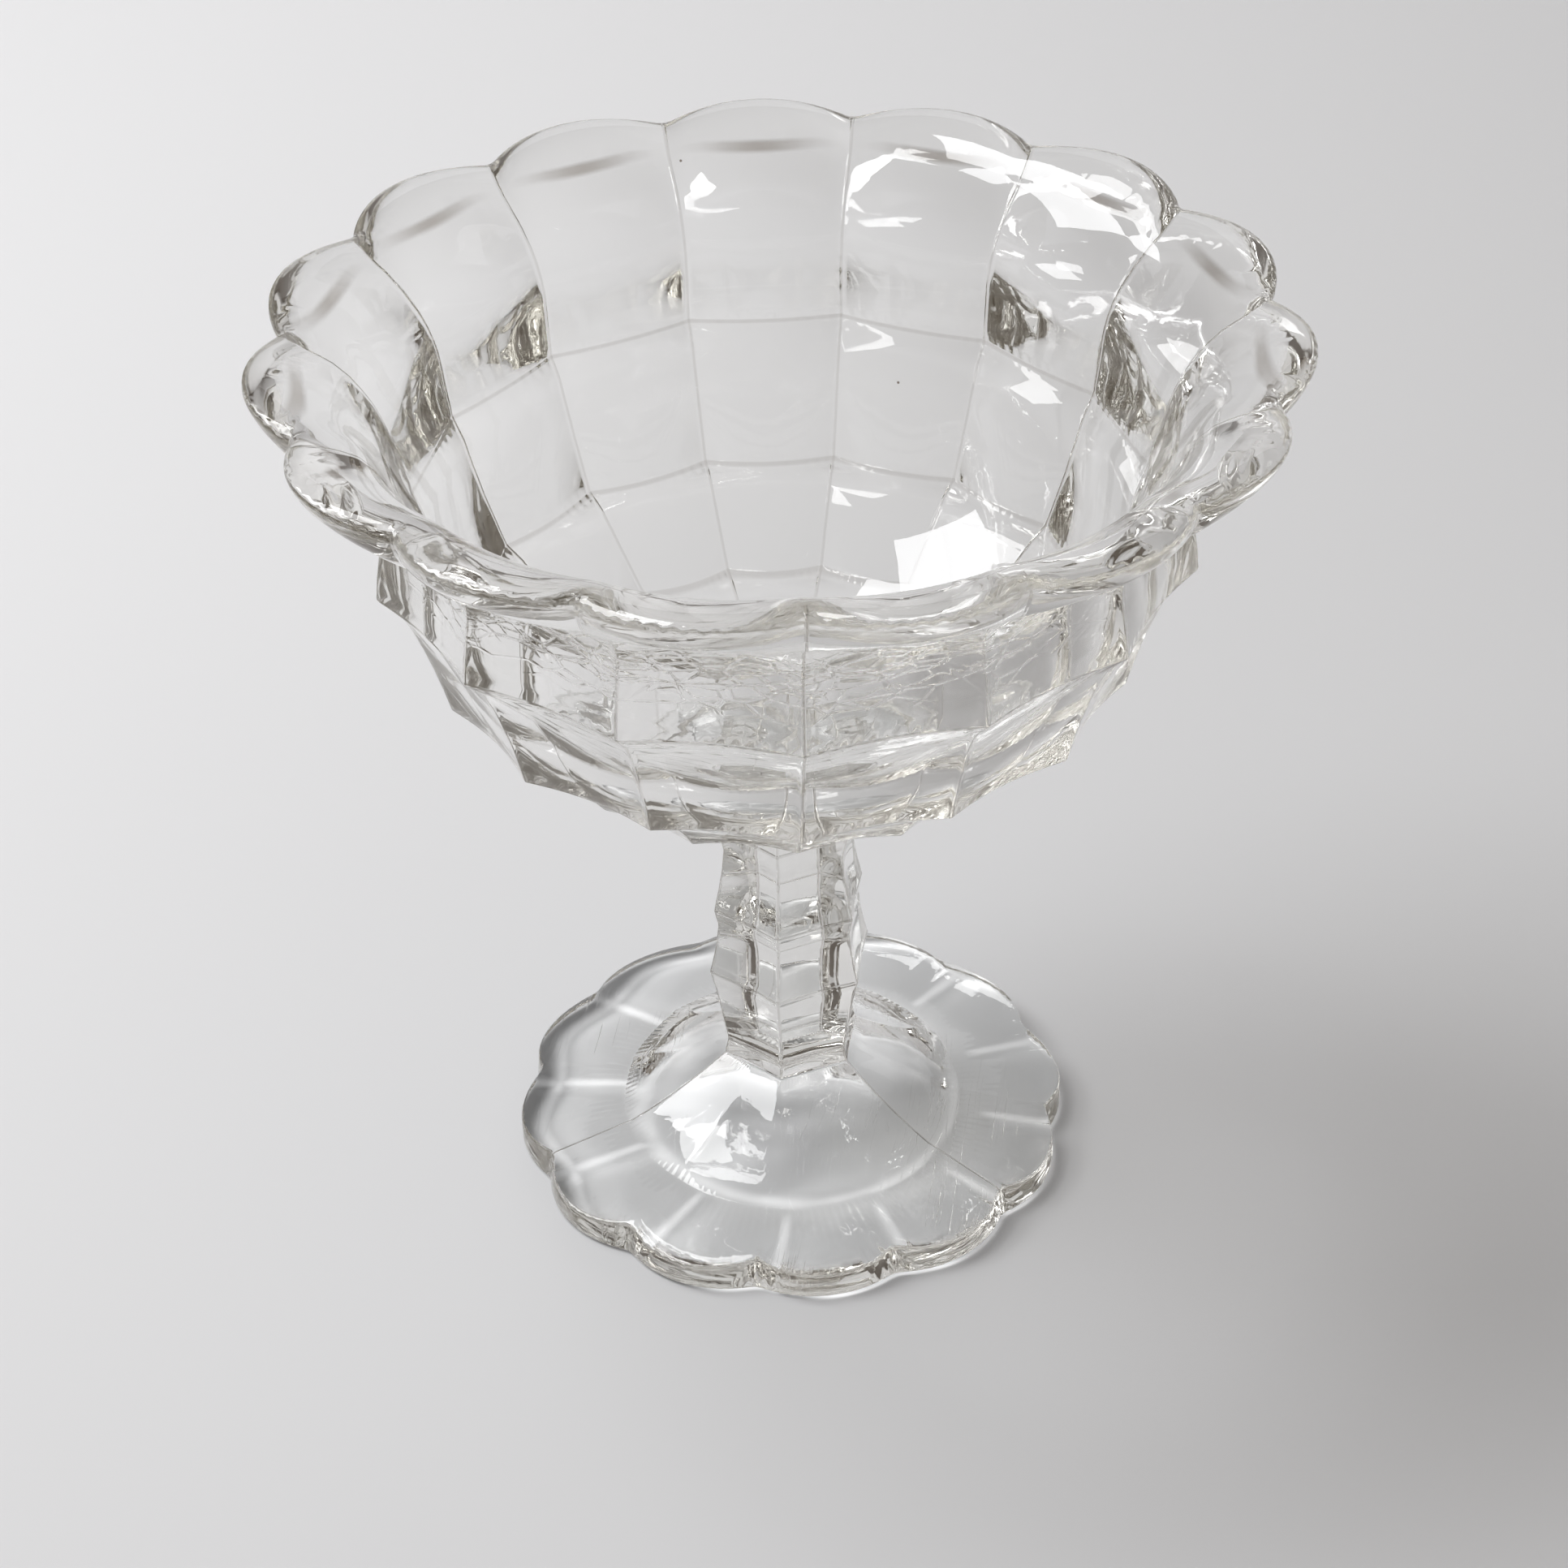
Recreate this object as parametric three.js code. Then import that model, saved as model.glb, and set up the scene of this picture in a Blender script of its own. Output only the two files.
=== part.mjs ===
// A pressed-glass pedestal bowl: a scalloped bowl with rows of scooped panels, a wafer of hot glass that joins it
// to a six-sided stem, and a fluted foot with a faceted dome. Millimetres, +Z up. The origin is on the table,
// under the middle of the foot, and a notch of the foot points along -Y.
import * as THREE from "three";

// Bowl. Radii are taken on the ridges between the panels, heights above the bowl's underside.
const BOWL_PANELS = 15;
const BOWL_TURN = 10.5; // degrees from the foot's first notch to the bowl's first ridge
const PAD = { radius: 16, height: 0, hollow: 0 };
const LOW_CORNER = { radius: 42.4, height: 10.5, hollow: 1.3 };
const MIDDLE_CORNER = { radius: 59.2, height: 25, hollow: 1.5 };
const HIGH_CORNER = { radius: 70.3, height: 49.6, hollow: 1.5 };
const SCOOP = 2; // how deep a ridge is hollowed from its upper corner to its lower one
const MIDDLE_SCOOP_SHARE = 0.5; // the middle of a panel is hollowed less than its ridges
const WALL = 5.2; // thinnest glass, in the middle of a panel
const FLOOR = 8.5;

// Rim, at the notches between its scallops.
const RIM_RADIUS = 82;
const RIM_HEIGHT = 81.2;
const SCALLOP_REACH = 5;
const SCALLOP_LIFT = 1.4;
const LIP_WIDTH = 6.4;
const LIP_CROWN = 2.2;
const NOTCH_UNDERCUT = { reach: 2.5, drop: 5.9 }; // the outer face of the lip, from its tip down to the cove
const SCALLOP_UNDERCUT = { reach: 3.5, drop: 5.1 };

// The cove under the lip: two points that pull in the line from the lip down to the high corner, on a ridge
// and in the middle of a panel.
const RIDGE_COVE = { radius: 63.8, height: 66.2 };
const RIDGE_SHOULDER = { radius: 69.6, height: 62.6 };
const MIDDLE_COVE = { radius: 59, height: 68.3 };
const MIDDLE_SHOULDER = { radius: 67.6, height: 63.9 };

// Joint between bowl and stem.
const WAFER_RADIUS = 14.6;
const WAFER_THICKNESS = 3;
const JOINT_GAP = 0.3;

// Stem. Radii are taken on the corners of its six sides, heights above its lower end.
const STEM_SIDES = 6;
const STEM_FOOT = { radius: 13.1, height: 0, scoop: 0.1 };
const STEM_WAIST = { radius: 12.4, height: 2.9, scoop: 0.2 };
const STEM_KNEE = { radius: 15.5, height: 19.1, scoop: 1 };
const STEM_COLLAR = { radius: 14.4, height: 32.7, scoop: 1.2 };
const STEM_NECK = { radius: 13.2, height: 50, scoop: 0.4 };
const STEM_TOP = { radius: 13.8, height: 59, scoop: 0 };
const SIDE_HOLLOW = 0.3;

// Foot. Heights above the table.
const FOOT_FLUTES = 12;
const FOOT_NOTCH_RADIUS = 47.8;
const FOOT_SCALLOP_REACH = 2.6;
const FOOT_EDGE_HEIGHT = 6.5;
const FOOT_DRAFT = 0.8;
const FOOT_ROUNDING = 0.7;
const FLUTE_DEPTH = 1.5;
const DOME_RADIUS = 31.5;
const DOME_EDGE_HEIGHT = 9;
const DOME_SAG = 0.8;
const SEAT_HEIGHT = 19;
const UNDERSIDE_HOLLOW_RADIUS = 30;
const UNDERSIDE_HOLLOW_DEPTH = 11;

const STEPS_PER_PANEL = 6;
const STEPS_PER_SIDE = 4;

const lerp = THREE.MathUtils.lerp;

// 0 on a ridge and 1 half way between two ridges, where turn is a share of a whole turn.
function bay(turn, count) {
  const place = turn * count - Math.floor(turn * count);
  return 4 * place * (1 - place);
}

// A regular polygon's radius in the direction of turn, with corners at the ridges.
function polygon(corner, sides, turn) {
  const place = turn * sides - Math.floor(turn * sides);
  const half = Math.PI / sides;
  return (corner * Math.cos(half)) / Math.cos((place - 0.5) * 2 * half);
}

// A closed skin round the Z axis. Each ring is a function from turn to [radius, height], and the skin runs
// from a point on the axis at height start, over the rings, to a point on the axis at height end.
function skin(start, rings, end, steps) {
  const points = [0, 0, start];
  for (const ring of rings) {
    for (let i = 0; i < steps; i++) {
      const [radius, height] = ring(i / steps);
      const angle = (2 * Math.PI * i) / steps;
      points.push(radius * Math.sin(angle), -radius * Math.cos(angle), height);
    }
  }
  points.push(0, 0, end);
  const vertex = (ring, i) => 1 + ring * steps + (i % steps);
  const last = rings.length - 1;
  const faces = [];
  for (let i = 0; i < steps; i++) {
    faces.push(0, vertex(0, i), vertex(0, i + 1));
    for (let ring = 0; ring < last; ring++) {
      faces.push(vertex(ring, i), vertex(ring + 1, i), vertex(ring + 1, i + 1));
      faces.push(vertex(ring, i), vertex(ring + 1, i + 1), vertex(ring, i + 1));
    }
    faces.push(vertex(last, i), points.length / 3 - 1, vertex(last, i + 1));
  }
  const geometry = new THREE.BufferGeometry();
  geometry.setAttribute("position", new THREE.Float32BufferAttribute(points, 3));
  geometry.setIndex(faces);
  geometry.computeVertexNormals();
  return geometry;
}

// A point on the scooped line from one corner down to the next: deepest about a third of the way down, so that
// each corner juts out over the panel under it.
function scooped(upper, lower, share, depth) {
  const line = new THREE.Vector2(lower.radius - upper.radius, lower.height - upper.height);
  const inward = new THREE.Vector2(line.y, -line.x).normalize();
  const early = share ** 0.6;
  const sag = depth * 4 * early * (1 - early);
  return {
    radius: upper.radius + line.x * share + inward.x * sag,
    height: upper.height + line.y * share + inward.y * sag,
  };
}

// The middle of a panel lies inside the straight line between its two ridges.
const middleRadius = (radius, hollow) => radius * Math.cos(Math.PI / BOWL_PANELS) - hollow;

const middleOf = ({ radius, height, hollow }) => ({ radius: middleRadius(radius, hollow), height });

function panelRing(ridge, middle) {
  return (turn) => {
    const share = bay(turn, BOWL_PANELS);
    return [lerp(ridge.radius, middle.radius, share), lerp(ridge.height, middle.height, share)];
  };
}

// The rings of one row of panels, from its upper corners to just above its lower ones.
function panelRow(upper, lower, depth, steps) {
  return Array.from({ length: steps }, (_, i) => {
    const ridge = scooped(upper, lower, i / steps, depth);
    const middle = scooped(middleOf(upper), middleOf(lower), i / steps, depth * MIDDLE_SCOOP_SHARE);
    return panelRing(ridge, middle);
  });
}

// The rounded edge of the rim, from its inner side over the crown and the tip to the lower edge of its outer face.
function lipCurve(tipRadius, tipHeight, undercut) {
  return new THREE.SplineCurve([
    new THREE.Vector2(tipRadius - LIP_WIDTH, tipHeight + LIP_CROWN * 0.65),
    new THREE.Vector2(tipRadius - LIP_WIDTH * 0.6, tipHeight + LIP_CROWN),
    new THREE.Vector2(tipRadius - LIP_WIDTH * 0.22, tipHeight + LIP_CROWN * 0.75),
    new THREE.Vector2(tipRadius, tipHeight),
    new THREE.Vector2(tipRadius - undercut.reach * 0.16, tipHeight - undercut.drop * 0.34),
    new THREE.Vector2(tipRadius - undercut.reach * 0.5, tipHeight - undercut.drop * 0.63),
    new THREE.Vector2(tipRadius - undercut.reach, tipHeight - undercut.drop),
  ]);
}

const notchLip = lipCurve(RIM_RADIUS, RIM_HEIGHT, NOTCH_UNDERCUT);
const scallopLip = lipCurve(RIM_RADIUS + SCALLOP_REACH, RIM_HEIGHT + SCALLOP_LIFT, SCALLOP_UNDERCUT);

function lipRings(steps) {
  return Array.from({ length: steps + 1 }, (_, i) => {
    const notch = notchLip.getPoint(i / steps);
    const scallop = scallopLip.getPoint(i / steps);
    // The inner side of the lip follows the scallops only by half.
    const follow = lerp(0.5, 1, Math.min(1, (2 * i) / steps));
    return (turn) => {
      const share = bay(turn, BOWL_PANELS) * follow;
      return [lerp(notch.x, scallop.x, share), lerp(notch.y, scallop.y, share)];
    };
  });
}

// Under the lip the top row of panels sweeps in through a cove and down to the high corner, in one line.
function sweepCurve(lip, cove, shoulder, corner) {
  return new THREE.CubicBezierCurve(
    lip.getPoint(1),
    new THREE.Vector2(cove.radius, cove.height),
    new THREE.Vector2(shoulder.radius, shoulder.height),
    new THREE.Vector2(corner.radius, corner.height),
  );
}

const ridgeSweep = sweepCurve(notchLip, RIDGE_COVE, RIDGE_SHOULDER, HIGH_CORNER);
const middleSweep = sweepCurve(scallopLip, MIDDLE_COVE, MIDDLE_SHOULDER, middleOf(HIGH_CORNER));

function sweepRings(steps) {
  return Array.from({ length: steps - 1 }, (_, i) => {
    const ridge = ridgeSweep.getPoint((i + 1) / steps);
    const middle = middleSweep.getPoint((i + 1) / steps);
    return panelRing({ radius: ridge.x, height: ridge.y }, { radius: middle.x, height: middle.y });
  });
}

// The smooth inside, pressed by a plain plunger: WALL away from the middle of each row's panels.
function insideCurve() {
  const wallInside = (upper, lower, depth) => {
    const { radius, height } = scooped(middleOf(upper), middleOf(lower), 0.5, depth * MIDDLE_SCOOP_SHARE);
    const outer = new THREE.Vector2(radius, height);
    const down = new THREE.Vector2(lower.radius - upper.radius, lower.height - upper.height).normalize();
    return outer.add(new THREE.Vector2(down.y, -down.x).multiplyScalar(WALL));
  };
  const sweepInside = (share) => {
    const down = middleSweep.getTangent(share);
    return middleSweep.getPoint(share).add(new THREE.Vector2(down.y, -down.x).multiplyScalar(WALL));
  };
  const lip = notchLip.getPoint(0);
  const low = wallInside(LOW_CORNER, PAD, SCOOP);
  return new THREE.SplineCurve([
    new THREE.Vector2(-low.x, low.y),
    new THREE.Vector2(0, FLOOR),
    low,
    wallInside(MIDDLE_CORNER, LOW_CORNER, SCOOP),
    wallInside(HIGH_CORNER, MIDDLE_CORNER, SCOOP),
    sweepInside(0.75),
    sweepInside(0.2),
    lip,
  ]);
}

function bowlGeometry() {
  const inside = insideCurve();
  const insideSteps = 14;
  const floorShare = 1 / 7;
  const insideRings = Array.from({ length: insideSteps - 1 }, (_, i) => {
    const share = (i + 1) / insideSteps;
    const point = inside.getPoint(lerp(floorShare, 1, share));
    const spread = Math.max(0, share - 0.8) / 0.2;
    return (turn) => {
      const follow = 0.5 * spread * bay(turn, BOWL_PANELS);
      return [point.x + SCALLOP_REACH * follow, point.y + SCALLOP_LIFT * follow];
    };
  });
  const rings = [
    ...insideRings,
    ...lipRings(7),
    ...sweepRings(8),
    ...panelRow(HIGH_CORNER, MIDDLE_CORNER, SCOOP, 6),
    ...panelRow(MIDDLE_CORNER, LOW_CORNER, SCOOP, 5),
    ...panelRow(LOW_CORNER, PAD, SCOOP * 0.7, 5),
    panelRing(PAD, middleOf(PAD)),
  ];
  return skin(FLOOR, rings, PAD.height, BOWL_PANELS * STEPS_PER_PANEL);
}

function stemGeometry() {
  const corners = [STEM_TOP, STEM_NECK, STEM_COLLAR, STEM_KNEE, STEM_WAIST, STEM_FOOT];
  const ring = ({ radius, height }) => (turn) => [
    polygon(radius, STEM_SIDES, turn) - SIDE_HOLLOW * bay(turn, STEM_SIDES),
    height,
  ];
  const tierSteps = 4;
  const rings = [];
  corners.slice(1).forEach((lower, index) => {
    const upper = corners[index];
    for (let i = 0; i < tierSteps; i++) {
      rings.push(ring(scooped(upper, lower, i / tierSteps, lower.scoop)));
    }
  });
  rings.push(ring(STEM_FOOT));
  return skin(STEM_TOP.height, rings, STEM_FOOT.height, STEM_SIDES * STEPS_PER_SIDE);
}

function waferGeometry() {
  const half = WAFER_THICKNESS / 2;
  const edge = new THREE.EllipseCurve(WAFER_RADIUS - half, half, half, half, -Math.PI / 2, Math.PI / 2);
  const profile = [new THREE.Vector2(0, 0), ...edge.getPoints(6), new THREE.Vector2(0, WAFER_THICKNESS)];
  return new THREE.LatheGeometry(profile, 36).rotateX(Math.PI / 2);
}

// The dome's rings run from the six-sided seat of the stem to a twelve-sided edge in line with the flutes.
function domeRings(steps) {
  return Array.from({ length: steps + 1 }, (_, i) => {
    const share = i / steps;
    const sag = DOME_SAG * 4 * share * (1 - share);
    const height = lerp(SEAT_HEIGHT, DOME_EDGE_HEIGHT, share) - sag;
    return (turn) => {
      const seat = polygon(STEM_FOOT.radius, STEM_SIDES, turn);
      const edge = polygon(DOME_RADIUS, FOOT_FLUTES, turn);
      return [lerp(seat, edge, share), height];
    };
  });
}

// From the dome's edge the flutes widen out to the scalloped edge, with a ridge running out to each notch.
function fluteRings(steps) {
  const outerNotch = FOOT_NOTCH_RADIUS - FOOT_DRAFT - FOOT_ROUNDING;
  const outerScallop = FOOT_NOTCH_RADIUS + FOOT_SCALLOP_REACH - FOOT_ROUNDING;
  return Array.from({ length: steps }, (_, i) => {
    const share = (i + 1) / steps;
    const height = lerp(DOME_EDGE_HEIGHT, FOOT_EDGE_HEIGHT, share);
    return (turn) => {
      const inBay = bay(turn, FOOT_FLUTES);
      const edge = polygon(DOME_RADIUS, FOOT_FLUTES, turn);
      const rim = lerp(outerNotch, outerScallop, inBay);
      return [lerp(edge, rim, share), height - FLUTE_DEPTH * inBay * share];
    };
  });
}

// The foot's upright edge, whose notches lean out a little towards the table.
function edgeRings() {
  const ring = (inset, draft, top, lift) => (turn) => {
    const inBay = bay(turn, FOOT_FLUTES);
    const outer = FOOT_NOTCH_RADIUS + FOOT_SCALLOP_REACH * inBay - draft * (1 - inBay);
    return [outer - inset, top ? FOOT_EDGE_HEIGHT - FLUTE_DEPTH * inBay - lift : lift];
  };
  const soft = FOOT_ROUNDING * (1 - Math.SQRT1_2);
  return [
    ring(soft, FOOT_DRAFT, true, soft),
    ring(0, FOOT_DRAFT, true, FOOT_ROUNDING),
    ring(0, 0, false, FOOT_ROUNDING),
    ring(soft, 0, false, soft),
    ring(FOOT_ROUNDING, 0, false, 0),
  ];
}

function undersideRings(steps) {
  return Array.from({ length: steps }, (_, i) => {
    const share = 1 - i / steps;
    const height = UNDERSIDE_HOLLOW_DEPTH * (1 - share * share);
    return () => [UNDERSIDE_HOLLOW_RADIUS * share, height];
  });
}

function footGeometry() {
  const rings = [...domeRings(5), ...fluteRings(3), ...edgeRings(), ...undersideRings(5)];
  return skin(SEAT_HEIGHT, rings, UNDERSIDE_HOLLOW_DEPTH, FOOT_FLUTES * STEPS_PER_PANEL);
}

function glass() {
  return new THREE.MeshStandardMaterial({
    color: 0xe9e7e2,
    roughness: 0.04,
    metalness: 0,
    transparent: true,
    opacity: 0.35,
    side: THREE.DoubleSide,
  });
}

function piece(name, geometry, height) {
  const mesh = new THREE.Mesh(geometry, glass());
  mesh.name = name;
  mesh.position.z = height;
  return mesh;
}

const stemHeight = SEAT_HEIGHT + JOINT_GAP;
const waferHeight = stemHeight + STEM_TOP.height + JOINT_GAP;
const bowlHeight = waferHeight + WAFER_THICKNESS + JOINT_GAP;

const pedestalBowl = new THREE.Group();
const bowl = piece("bowl", bowlGeometry(), bowlHeight);
bowl.rotation.z = THREE.MathUtils.degToRad(BOWL_TURN);
pedestalBowl.add(bowl);
pedestalBowl.add(piece("joining_wafer", waferGeometry(), waferHeight));
pedestalBowl.add(piece("stem", stemGeometry(), stemHeight));
pedestalBowl.add(piece("foot", footGeometry(), 0));

export default pedestalBowl;
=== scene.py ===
# %% [markdown]
# # A pressed-glass pedestal bowl
#
# Clear pressed glass is one of the plainest materials and one of the hardest to show: nearly all that
# is seen is its surroundings, bent by every facet. So most of the work here goes into clean, closed,
# well-curved walls with crisp ridges, and into a room that gives the glass something pale and something
# dark to bend. The bowl, the wafer that joins it on, the stem and the foot are modelled as four closed
# pieces.

import math

import bmesh
import bpy
from mathutils import Matrix, Vector


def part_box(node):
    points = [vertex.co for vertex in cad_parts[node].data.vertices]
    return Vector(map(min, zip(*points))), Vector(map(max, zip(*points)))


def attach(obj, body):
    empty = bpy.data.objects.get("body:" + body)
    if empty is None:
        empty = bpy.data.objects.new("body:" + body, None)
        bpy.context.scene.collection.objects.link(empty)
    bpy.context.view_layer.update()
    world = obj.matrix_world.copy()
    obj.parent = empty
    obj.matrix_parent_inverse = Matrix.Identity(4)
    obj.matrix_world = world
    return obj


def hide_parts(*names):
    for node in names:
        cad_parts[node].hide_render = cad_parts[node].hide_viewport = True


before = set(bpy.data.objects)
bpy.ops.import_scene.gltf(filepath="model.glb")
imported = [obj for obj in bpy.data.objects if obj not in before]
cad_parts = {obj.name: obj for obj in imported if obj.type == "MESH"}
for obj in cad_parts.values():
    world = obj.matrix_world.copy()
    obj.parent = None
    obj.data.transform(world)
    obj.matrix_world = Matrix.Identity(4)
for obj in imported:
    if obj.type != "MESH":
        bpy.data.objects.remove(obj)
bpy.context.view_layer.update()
bpy.context.scene.view_settings.view_transform = "Standard"
_, foot_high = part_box("foot")
_, stem_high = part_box("stem")
bowl_low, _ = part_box("bowl")
foot_top, stem_top, bowl_base = foot_high[2], stem_high[2], bowl_low[2]

# %% [markdown]
# ## The camera
#
# The photograph looks down at about 36 degrees from a little over half a metre away. A camera is set
# either by aiming it at a point or by its place and three angles. The angles are used here, because the
# photograph is also turned by one degree in its own plane, which aiming alone can't give.

# %% Camera
IMAGE_PIXELS = 1932
FOCAL_PIXELS = 4753.7
SENSOR_WIDTH = 36
CAMERA_PLACE = (0.0782, -0.5414, 0.4735)
CAMERA_HEADING = 8.27
CAMERA_DOWN = 36.02
CAMERA_ROLL = -0.97


def add_camera():
    bpy.ops.object.select_all(action="DESELECT")
    bpy.ops.object.camera_add()
    camera = bpy.context.object
    camera.name = "camera"
    heading = Matrix.Rotation(math.radians(CAMERA_HEADING), 4, "Z")
    tilt = Matrix.Rotation(math.radians(90 - CAMERA_DOWN), 4, "X")
    roll = Matrix.Rotation(math.radians(CAMERA_ROLL), 4, "Z")
    camera.matrix_world = Matrix.Translation(CAMERA_PLACE) @ heading @ tilt @ roll
    camera.data.sensor_width = SENSOR_WIDTH
    camera.data.lens = SENSOR_WIDTH * FOCAL_PIXELS / IMAGE_PIXELS
    bpy.context.scene.camera = camera
    return camera


camera = add_camera()
print("lens, mm:", round(camera.data.lens, 2))

# %% [markdown]
# ## The room
#
# Glass in a room that is white all over almost disappears, and in a dark one it turns black. A studio
# stands it on pale paper, and lets the dark parts of the room to the left, to the right and in front
# draw its edges. The same room is shown to every kind of ray, so the glass bends what the camera sees.
# The paper's fade to the sides could be a lamp's falloff, but a colour that depends on the place is
# easier to steer.

# %% Paper
PAPER_COLOR = (0.79, 0.79, 0.80, 1)
PAPER_EDGE_COLOR = (0.2, 0.175, 0.15, 1)
PAPER_FADE = (0.34, 0.66)  # how far to the side it starts to darken, and where it is darkest


def plain_material(name, color, roughness):
    material = bpy.data.materials.new(name)
    material.use_nodes = True
    shader = material.node_tree.nodes["Principled BSDF"]
    shader.inputs["Base Color"].default_value = color
    shader.inputs["Roughness"].default_value = roughness
    return material


def paper_material():
    """Pale in the middle, and as dark as the walls towards the sides, which the lamps don't reach."""
    material = plain_material("pale_paper", PAPER_COLOR, 0.9)
    tree = material.node_tree
    place = tree.nodes.new("ShaderNodeTexCoord")
    split = tree.nodes.new("ShaderNodeSeparateXYZ")
    side = tree.nodes.new("ShaderNodeMath")
    side.operation = "ABSOLUTE"
    fade = tree.nodes.new("ShaderNodeValToRGB")
    tree.links.new(place.outputs["Object"], split.inputs[0])
    tree.links.new(split.outputs["X"], side.inputs[0])
    tree.links.new(side.outputs[0], fade.inputs["Fac"])
    tree.links.new(fade.outputs["Color"], tree.nodes["Principled BSDF"].inputs["Base Color"])
    stops = fade.color_ramp.elements
    stops[0].position = PAPER_FADE[0]
    stops[0].color = PAPER_COLOR
    stops[1].position = PAPER_FADE[1]
    stops[1].color = PAPER_EDGE_COLOR
    return material


# %% [markdown]
# ### The sweep
#
# A flat floor with a separate wall would do, but the line where they meet would show in every facet. So
# the back edge of one sheet is extruded up along a quarter circle, as photographers hang their paper.

# %% Paper sweep
SWEEP_HALF_WIDTH = 0.8
SWEEP_FRONT = -0.9
SWEEP_BEND = 0.55
SWEEP_RADIUS = 0.4
SWEEP_TOP = 0.85
SWEEP_STEPS = 16
FLOOR_DROP = -0.0002  # a film of air, as glass never touches paper all over


def paper_sweep():
    """A flat sheet whose back edge is extruded up along a quarter circle, and then straight up."""
    bpy.ops.object.select_all(action="DESELECT")
    length = SWEEP_BEND - SWEEP_FRONT
    bpy.ops.mesh.primitive_plane_add(size=1, location=(0, SWEEP_FRONT + length / 2, FLOOR_DROP))
    sweep = bpy.context.object
    sweep.name = "paper_sweep"
    sweep.scale = (2 * SWEEP_HALF_WIDTH, length, 1)
    bpy.ops.object.transform_apply(location=True, rotation=True, scale=True)
    bpy.ops.object.mode_set(mode="EDIT")
    bpy.ops.mesh.select_mode(type="EDGE")
    mesh = bmesh.from_edit_mesh(sweep.data)
    for edge in mesh.edges:
        edge.select = all(vertex.co.y > SWEEP_BEND - 1e-6 for vertex in edge.verts)
    mesh.select_flush_mode()
    angles = [math.pi / 2 * step / SWEEP_STEPS for step in range(SWEEP_STEPS + 1)]
    line = [(SWEEP_RADIUS * math.sin(a), SWEEP_RADIUS * (1 - math.cos(a))) for a in angles]
    line.append((SWEEP_RADIUS, SWEEP_TOP))
    for (y0, z0), (y1, z1) in zip(line, line[1:]):
        bpy.ops.mesh.extrude_region_move(TRANSFORM_OT_translate={"value": (0, y1 - y0, z1 - z0)})
    bpy.ops.object.mode_set(mode="OBJECT")
    bpy.ops.object.shade_smooth()
    sweep.data.materials.append(paper_material())
    return sweep


sweep = paper_sweep()
print("sweep:", len(sweep.data.polygons), "faces")

# %% [markdown]
# ## The light
#
# The walls of the room are left dim and slightly warm: their reflections are what draws the dark lines
# in the rim and the foot. A picture of a real studio could stand here, but a plain blend from the walls
# to the ceiling gives calmer edges.

# %% World
WALL_COLOR = (0.13, 0.112, 0.096, 1)
CEILING_COLOR = (0.10, 0.084, 0.07, 1)


def build_world():
    world = bpy.data.worlds.new("studio")
    bpy.context.scene.world = world
    world.use_nodes = True
    tree = world.node_tree
    background = tree.nodes["Background"]
    place = tree.nodes.new("ShaderNodeTexCoord")
    split = tree.nodes.new("ShaderNodeSeparateXYZ")
    ramp = tree.nodes.new("ShaderNodeValToRGB")
    tree.links.new(place.outputs["Generated"], split.inputs[0])
    tree.links.new(split.outputs["Z"], ramp.inputs["Fac"])
    tree.links.new(ramp.outputs["Color"], background.inputs["Color"])
    stops = ramp.color_ramp.elements
    stops[0].position = 0.02
    stops[0].color = WALL_COLOR
    stops[1].position = 0.2
    stops[1].color = CEILING_COLOR
    background.inputs["Strength"].default_value = 1.0


build_world()
print("world:", bpy.context.scene.world.name)

# %% [markdown]
# ### The lamps
#
# The blobs of light inside the rim, low in the bowl and on the foot all mirror one bright place high on
# the left, so the light comes in there: a large window and a smaller pane above it, further back. A sun
# lamp would cut a hard shadow, while the shadow on the paper is soft.

# %% Lamps
DAYLIGHT = (0.98, 0.99, 1.0)


def add_softbox(name, place, size, power):
    bpy.ops.object.select_all(action="DESELECT")
    bpy.ops.object.light_add(type="AREA", location=place)
    lamp = bpy.context.object
    lamp.name = name
    lamp.rotation_euler = (-Vector(place)).to_track_quat("-Z", "Y").to_euler()
    lamp.data.shape = "RECTANGLE"
    lamp.data.size, lamp.data.size_y = size
    lamp.data.energy = power
    lamp.data.color = DAYLIGHT
    print(name, "W:", power)


add_softbox("window_left", (-1.05, 0.05, 1.17), (0.8, 0.8), 17.9)
add_softbox("upper_pane", (-0.6, 0.3, 1.4), (0.5, 0.45), 6.4)

# %% [markdown]
# ## Light paths
#
# Inside thick glass a ray is thrown back many times before it finds a way out. Where the count of turns
# is cut short, the glass goes black at its ridges and rim. So the counts are raised well above what
# other materials need. The light that reaches the paper through the glass is another matter: it finds
# the lamps only by chance, which leaves grain. Here that search is switched off, and the glass itself
# says how much light it lets down.

# %% Turns a ray may take
cycles = bpy.context.scene.cycles
cycles.max_bounces = 32
cycles.glossy_bounces = 24
cycles.transmission_bounces = 32
cycles.transparent_max_bounces = 32
cycles.caustics_refractive = False
cycles.caustics_reflective = False
print("turns:", cycles.max_bounces)

# %% [markdown]
# ## Clear glass
#
# Glass is clear only in thin pieces. Here a slight warm grey is taken from light on its way through, so
# thick parts such as the stem look a little darker than the panels. A colour on the surface would do
# for thin panes, but then the thick stem and the thin panels would look alike. The two helpers save
# typing: one is a sum, the other a soft step.

# %% Tint and node helpers
TINT_COLOR = (0.82, 0.80, 0.74, 1)
TINT_DENSITY = 9.0


def calculate(tree, operation, *values):
    """A math node. Each value is a number or another node's output."""
    node = tree.nodes.new("ShaderNodeMath")
    node.operation = operation
    for socket, value in zip(node.inputs, values):
        if isinstance(value, (int, float)):
            socket.default_value = value
        else:
            tree.links.new(value, socket)
    return node.outputs[0]


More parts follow.
